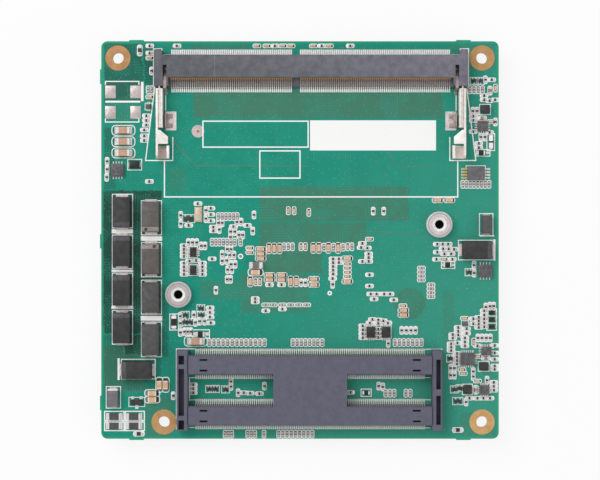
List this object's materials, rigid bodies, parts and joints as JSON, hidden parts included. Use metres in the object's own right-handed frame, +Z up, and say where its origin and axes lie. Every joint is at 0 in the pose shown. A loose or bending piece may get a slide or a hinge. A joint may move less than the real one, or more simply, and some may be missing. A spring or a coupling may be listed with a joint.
{
  "type": "system on module",
  "caption": "Square computer module board lying connector side up, with a board-to-board plug, memory sockets with sprung latches, standoffs, moulded capacitors and dense small chips.",
  "frame": {"origin": "middle of the plane the module lies on, on its processor side, below the centre of the square board", "axes": "+X to the right along the memory sockets, +Y from the board connector towards the memory sockets, +Z up out of the connector side"},
  "size_m": [0.0953, 0.0956, 0.0106],
  "materials": {
    "solder_mask": "satin",
    "copper_plating": "satin",
    "nickel_steel": "satin",
    "tin_plate": "satin",
    "gold_plate": "polished",
    "connector_plastic": "matt",
    "socket_plastic": "matt",
    "moulded_resin": "matt",
    "chip_resin": "matt",
    "tan_ceramic": "satin",
    "grey_ceramic": "satin",
    "red_glaze": "gloss",
    "die_silicon": "gloss"
  },
  "bodies": {
    "module": {"circuit_board": "solder_mask", "mounting_hole_plating": "copper_plating", "standoff_left": "nickel_steel", "standoff_right": "nickel_steel", "plug_housing_upper": "connector_plastic", "plug_housing_lower": "connector_plastic", "plug_contacts_upper": "tin_plate", "plug_contacts_lower": "tin_plate", "end_bar_left": "connector_plastic", "end_bar_right": "connector_plastic", "pick_up_cover": "connector_plastic", "memory_socket_housing": "socket_plastic", "memory_socket_upper_contacts": "gold_plate", "memory_socket_lower_contacts": "tin_plate", "memory_hold_downs": "nickel_steel", "rear_socket_housing": "socket_plastic", "rear_socket_upper_contacts": "gold_plate", "rear_socket_lower_contacts": "tin_plate", "rear_hold_downs": "nickel_steel", "moulded_capacitor_bodies": "moulded_resin", "moulded_capacitor_terminals": "tin_plate", "diode_bodies": "chip_resin", "diode_terminals": "tin_plate", "transistor_bodies": "chip_resin", "transistor_leads": "tin_plate", "leaded_chip_bodies": "chip_resin", "leaded_chip_leads": "tin_plate", "flat_chip_bodies": "chip_resin", "flat_chip_pads": "tin_plate", "choke_bodies": "moulded_resin", "crystal_base": "gold_plate", "crystal_lid": "nickel_steel", "large_ceramic_bodies": "tan_ceramic", "small_ceramic_bodies": "tan_ceramic", "ceramic_terminals": "tin_plate", "fine_ceramics": "tan_ceramic", "resistor_bodies": "chip_resin", "resistor_terminals": "tin_plate", "fuse_bodies": "red_glaze", "fuse_terminals": "tin_plate", "fine_chips": "grey_ceramic", "bare_solder_pads": "tin_plate", "processor_substrate": "solder_mask", "processor_dies": "die_silicon", "rear_power_inductors": "moulded_resin", "rear_power_chips": "chip_resin", "rear_capacitor_bodies": "tan_ceramic", "rear_capacitor_terminals": "tin_plate"},
    "memory_latch_left": {"memory_latch_left": "nickel_steel"},
    "memory_latch_right": {"memory_latch_right": "nickel_steel"},
    "rear_latch_left": {"rear_latch_left": "nickel_steel"},
    "rear_latch_right": {"rear_latch_right": "nickel_steel"}
  },
  "joints": [
    {"name": "memory_latch_left_swing", "type": "hinge", "parent": "module", "child": "memory_latch_left", "pos_m": [-0.0334, 0.0373, 0.0078], "axis": [0, 0, -1], "range_deg": [0, 5], "stiffness_Nm_per_rad": 0.05},
    {"name": "memory_latch_right_swing", "type": "hinge", "parent": "module", "child": "memory_latch_right", "pos_m": [0.0386, 0.0373, 0.0078], "axis": [0, 0, 1], "range_deg": [0, 5], "stiffness_Nm_per_rad": 0.05},
    {"name": "rear_latch_left_swing", "type": "hinge", "parent": "module", "child": "rear_latch_left", "pos_m": [-0.0334, 0.0373, 0.0022], "axis": [0, 0, -1], "range_deg": [0, 5], "stiffness_Nm_per_rad": 0.05},
    {"name": "rear_latch_right_swing", "type": "hinge", "parent": "module", "child": "rear_latch_right", "pos_m": [0.0386, 0.0373, 0.0022], "axis": [0, 0, 1], "range_deg": [0, 5], "stiffness_Nm_per_rad": 0.05}
  ]
}
